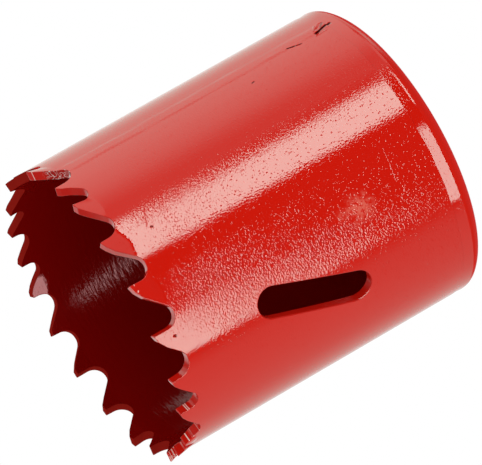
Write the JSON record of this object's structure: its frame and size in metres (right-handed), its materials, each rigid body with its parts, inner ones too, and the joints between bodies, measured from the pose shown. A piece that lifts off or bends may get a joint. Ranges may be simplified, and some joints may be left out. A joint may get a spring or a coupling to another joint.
{
  "type": "hole saw",
  "caption": "Cup-shaped hole saw: a rolled, seam-welded steel strip with set teeth of varied pitch and leaning chip slots, on a thick back plate with a threaded arbor hole and drive-pin holes.",
  "frame": {"origin": "on the axis of the saw, in the back face of the back plate", "axes": "+Z along the axis from the back face to the teeth; the cutting faces of the teeth face counter-clockwise seen from the teeth, and the weld seam lies 4.5 degrees from +X"},
  "size_m": [0.0401, 0.04, 0.046],
  "materials": {
    "red_paint": "gloss"
  },
  "bodies": {
    "root": {"toothed_shell": "red_paint", "back_plate": "red_paint"}
  },
  "joints": []
}
